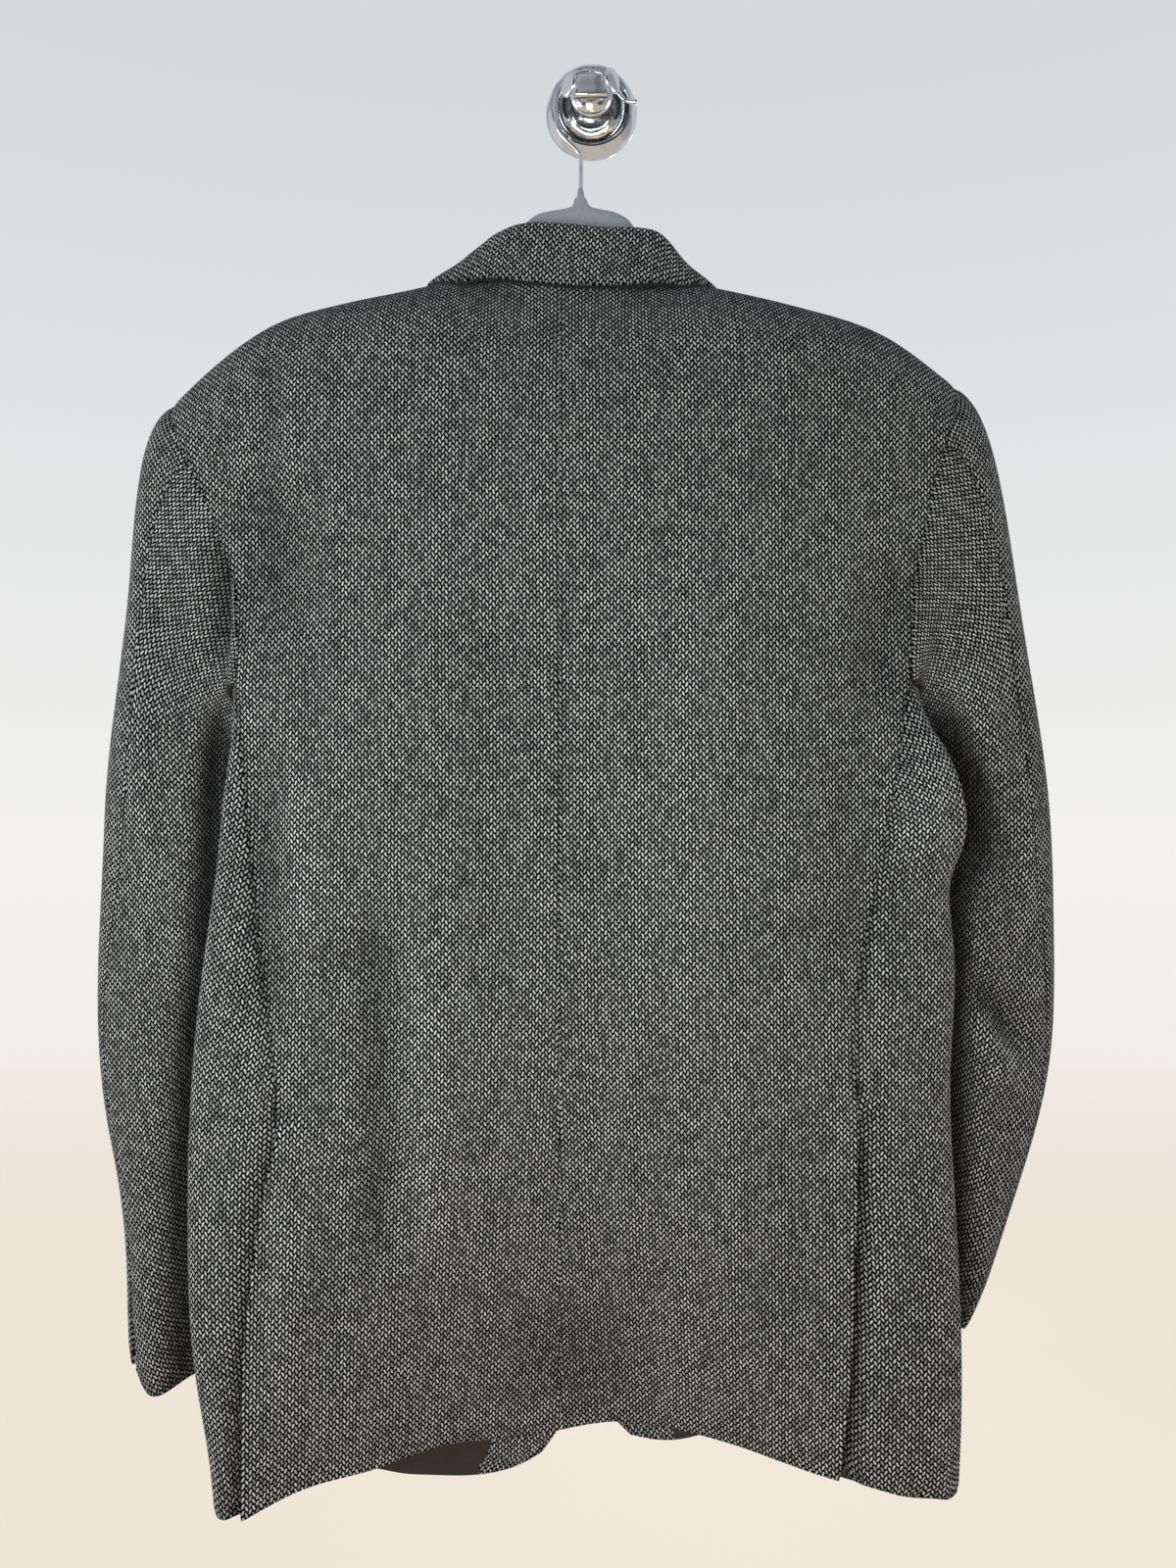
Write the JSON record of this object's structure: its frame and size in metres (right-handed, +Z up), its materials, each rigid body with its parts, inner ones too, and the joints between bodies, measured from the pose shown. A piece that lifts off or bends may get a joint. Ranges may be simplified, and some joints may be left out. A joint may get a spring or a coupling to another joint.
{
  "type": "tweed blazer on a hanger and robe hook",
  "caption": "Men's tweed blazer with side vents, hung with its back to the viewer from a slim flocked hanger on a chromed double robe hook.",
  "frame": {"origin": "middle of the robe hook's flat back, on the wall", "axes": "+Y into the wall, so the jacket's back faces -Y; +X towards the wearer's right; +Z up"},
  "size_m": [0.6289, 0.105, 0.9521],
  "materials": {
    "tweed": "black and off-white barleycorn weave, napped",
    "undercollar_felt": "pressed felt",
    "twill_lining": "satin twill",
    "horn": "polished horn",
    "flocked_plastic": "grey velvet flock",
    "chrome": "polished"
  },
  "bodies": {
    "root": {"back_left": "tweed", "back_right": "tweed", "breast_welt": "tweed", "collar_top": "tweed", "collar_under": "undercollar_felt", "cuff_button_left_1": "horn", "cuff_button_left_2": "horn", "cuff_button_left_3": "horn", "cuff_button_right_1": "horn", "cuff_button_right_2": "horn", "cuff_button_right_3": "horn", "facing_left": "tweed", "facing_right": "tweed", "flap_left": "tweed", "flap_right": "tweed", "front_button_lower": "horn", "front_button_upper": "horn", "front_left": "tweed", "front_right": "tweed", "hanger_body": "flocked_plastic", "hanger_hook": "chrome", "hook_crown": "chrome", "hook_horn_left": "chrome", "hook_horn_right": "chrome", "hook_post": "chrome", "lapel_left": "tweed", "lapel_right": "tweed", "lining_left": "twill_lining", "lining_right": "twill_lining", "side_left": "tweed", "side_right": "tweed", "top_sleeve_left": "tweed", "top_sleeve_right": "tweed", "under_sleeve_left": "tweed", "under_sleeve_right": "tweed", "wall_rosette": "chrome"}
  },
  "joints": []
}
